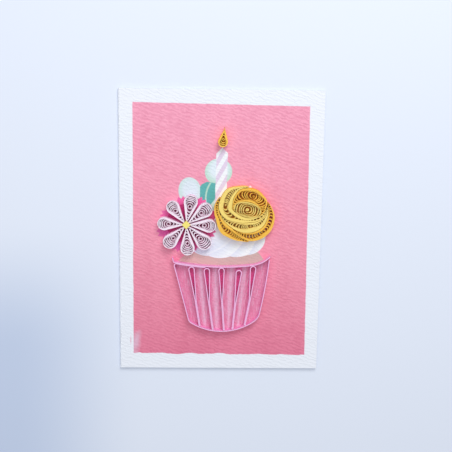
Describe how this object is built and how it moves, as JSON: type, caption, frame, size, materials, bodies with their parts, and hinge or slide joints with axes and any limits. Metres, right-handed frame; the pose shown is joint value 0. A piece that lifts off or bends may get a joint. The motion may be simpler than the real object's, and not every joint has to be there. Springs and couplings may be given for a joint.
{
  "type": "quilled greeting card",
  "caption": "Folded portrait greeting card with quilled paper strips standing on its front: a cupcake case, a flower, a flame and a rolled rose.",
  "frame": {"origin": "middle of the back face, on which the closed card lies", "axes": "+Y towards the head of the card, +X to its opening edge, +Z out of its front; the fold is at -X"},
  "size_m": [0.127, 0.178, 0.0075],
  "materials": {
    "card_board": "matt felt-marked card, printed on its front",
    "case_strip": "matt pink quilling paper",
    "petal_strip": "matt lilac-white quilling paper",
    "centre_card": "matt yellow card",
    "flame_strip": "matt yellow quilling paper",
    "rose_pale_strip": "matt light yellow quilling paper",
    "rose_deep_strip": "matt orange-yellow quilling paper"
  },
  "bodies": {
    "root": {"card": "card_board", "cup_rim": "case_strip", "cup_wall": "case_strip", "pleat_1": "case_strip", "pleat_2": "case_strip", "pleat_3": "case_strip", "pleat_4": "case_strip", "pleat_5": "case_strip", "petal_1": "petal_strip", "petal_2": "petal_strip", "petal_3": "petal_strip", "petal_4": "petal_strip", "petal_5": "petal_strip", "petal_6": "petal_strip", "petal_7": "petal_strip", "petal_8": "petal_strip", "flower_centre": "centre_card", "flame": "flame_strip", "rose_heart": "rose_pale_strip", "rose_left": "rose_pale_strip", "rose_lower": "rose_pale_strip", "rose_upper": "rose_deep_strip", "rose_outer_right": "rose_deep_strip", "rose_outer_left": "rose_deep_strip"}
  },
  "joints": []
}
